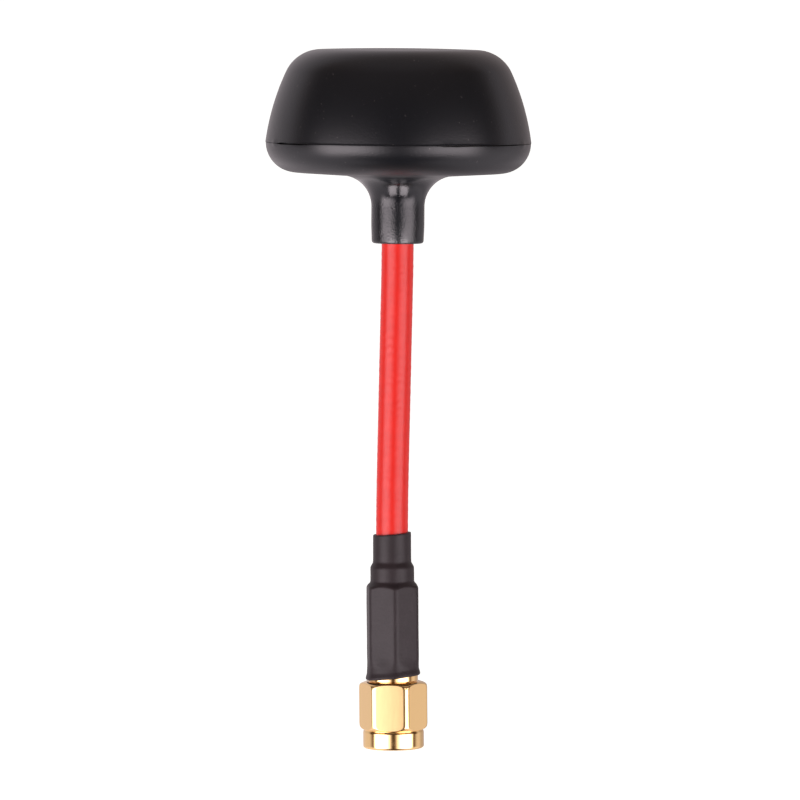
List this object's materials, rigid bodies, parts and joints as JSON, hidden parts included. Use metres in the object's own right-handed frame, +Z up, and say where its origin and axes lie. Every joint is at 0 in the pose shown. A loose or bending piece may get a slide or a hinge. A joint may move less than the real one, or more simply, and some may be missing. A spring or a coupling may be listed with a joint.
{
  "type": "mushroom antenna",
  "caption": "Mushroom-shaped antenna: a two-part round head on a straight coax stem, with a crimped plug and a free-turning hexagonal coupling nut.",
  "frame": {"origin": "centre of the plug's reference plane, the front face of its outer contact", "axes": "+Z up the plug's axis towards the head, +X the way the stem leans"},
  "size_m": [0.0345, 0.0346, 0.0912],
  "materials": {
    "radome_black": "satin moulded plastic",
    "jacket_red": "semi-gloss jacket",
    "shrink_black": "matte heat-shrink sleeve",
    "gold": "polished gold plate",
    "copper": "bright bare copper",
    "solder": "soft bright solder",
    "tinned_braid": "tin-soaked braid",
    "ptfe": "white waxy insulator",
    "glue": "clear amber glue",
    "seal_rubber": "soft silicone",
    "spring_bronze": "plain spring bronze"
  },
  "bodies": {
    "antenna": {"radome_cap": "radome_black", "radome_base": "radome_black", "neck_glue_bead": "glue", "leaf_1": "copper", "leaf_2": "copper", "leaf_3": "copper", "feed_solder_joint": "solder", "ground_solder_joint": "solder", "coax_centre_conductor": "copper", "coax_dielectric": "ptfe", "coax_braid": "tinned_braid", "cable_jacket": "jacket_red", "heat_shrink_boot": "shrink_black", "crimp_ferrule": "gold", "connector_body": "gold", "connector_insulator": "ptfe", "contact_pin": "gold", "pin_solder_joint": "solder", "gasket": "seal_rubber", "snap_ring": "spring_bronze"},
    "nut": {"coupling_nut": "gold"}
  },
  "joints": [
    {"name": "coupling_nut_spin", "type": "hinge", "parent": "antenna", "child": "nut", "pos_m": [0, 0, 0.001], "axis": [0, 0, 1], "continuous": true}
  ]
}
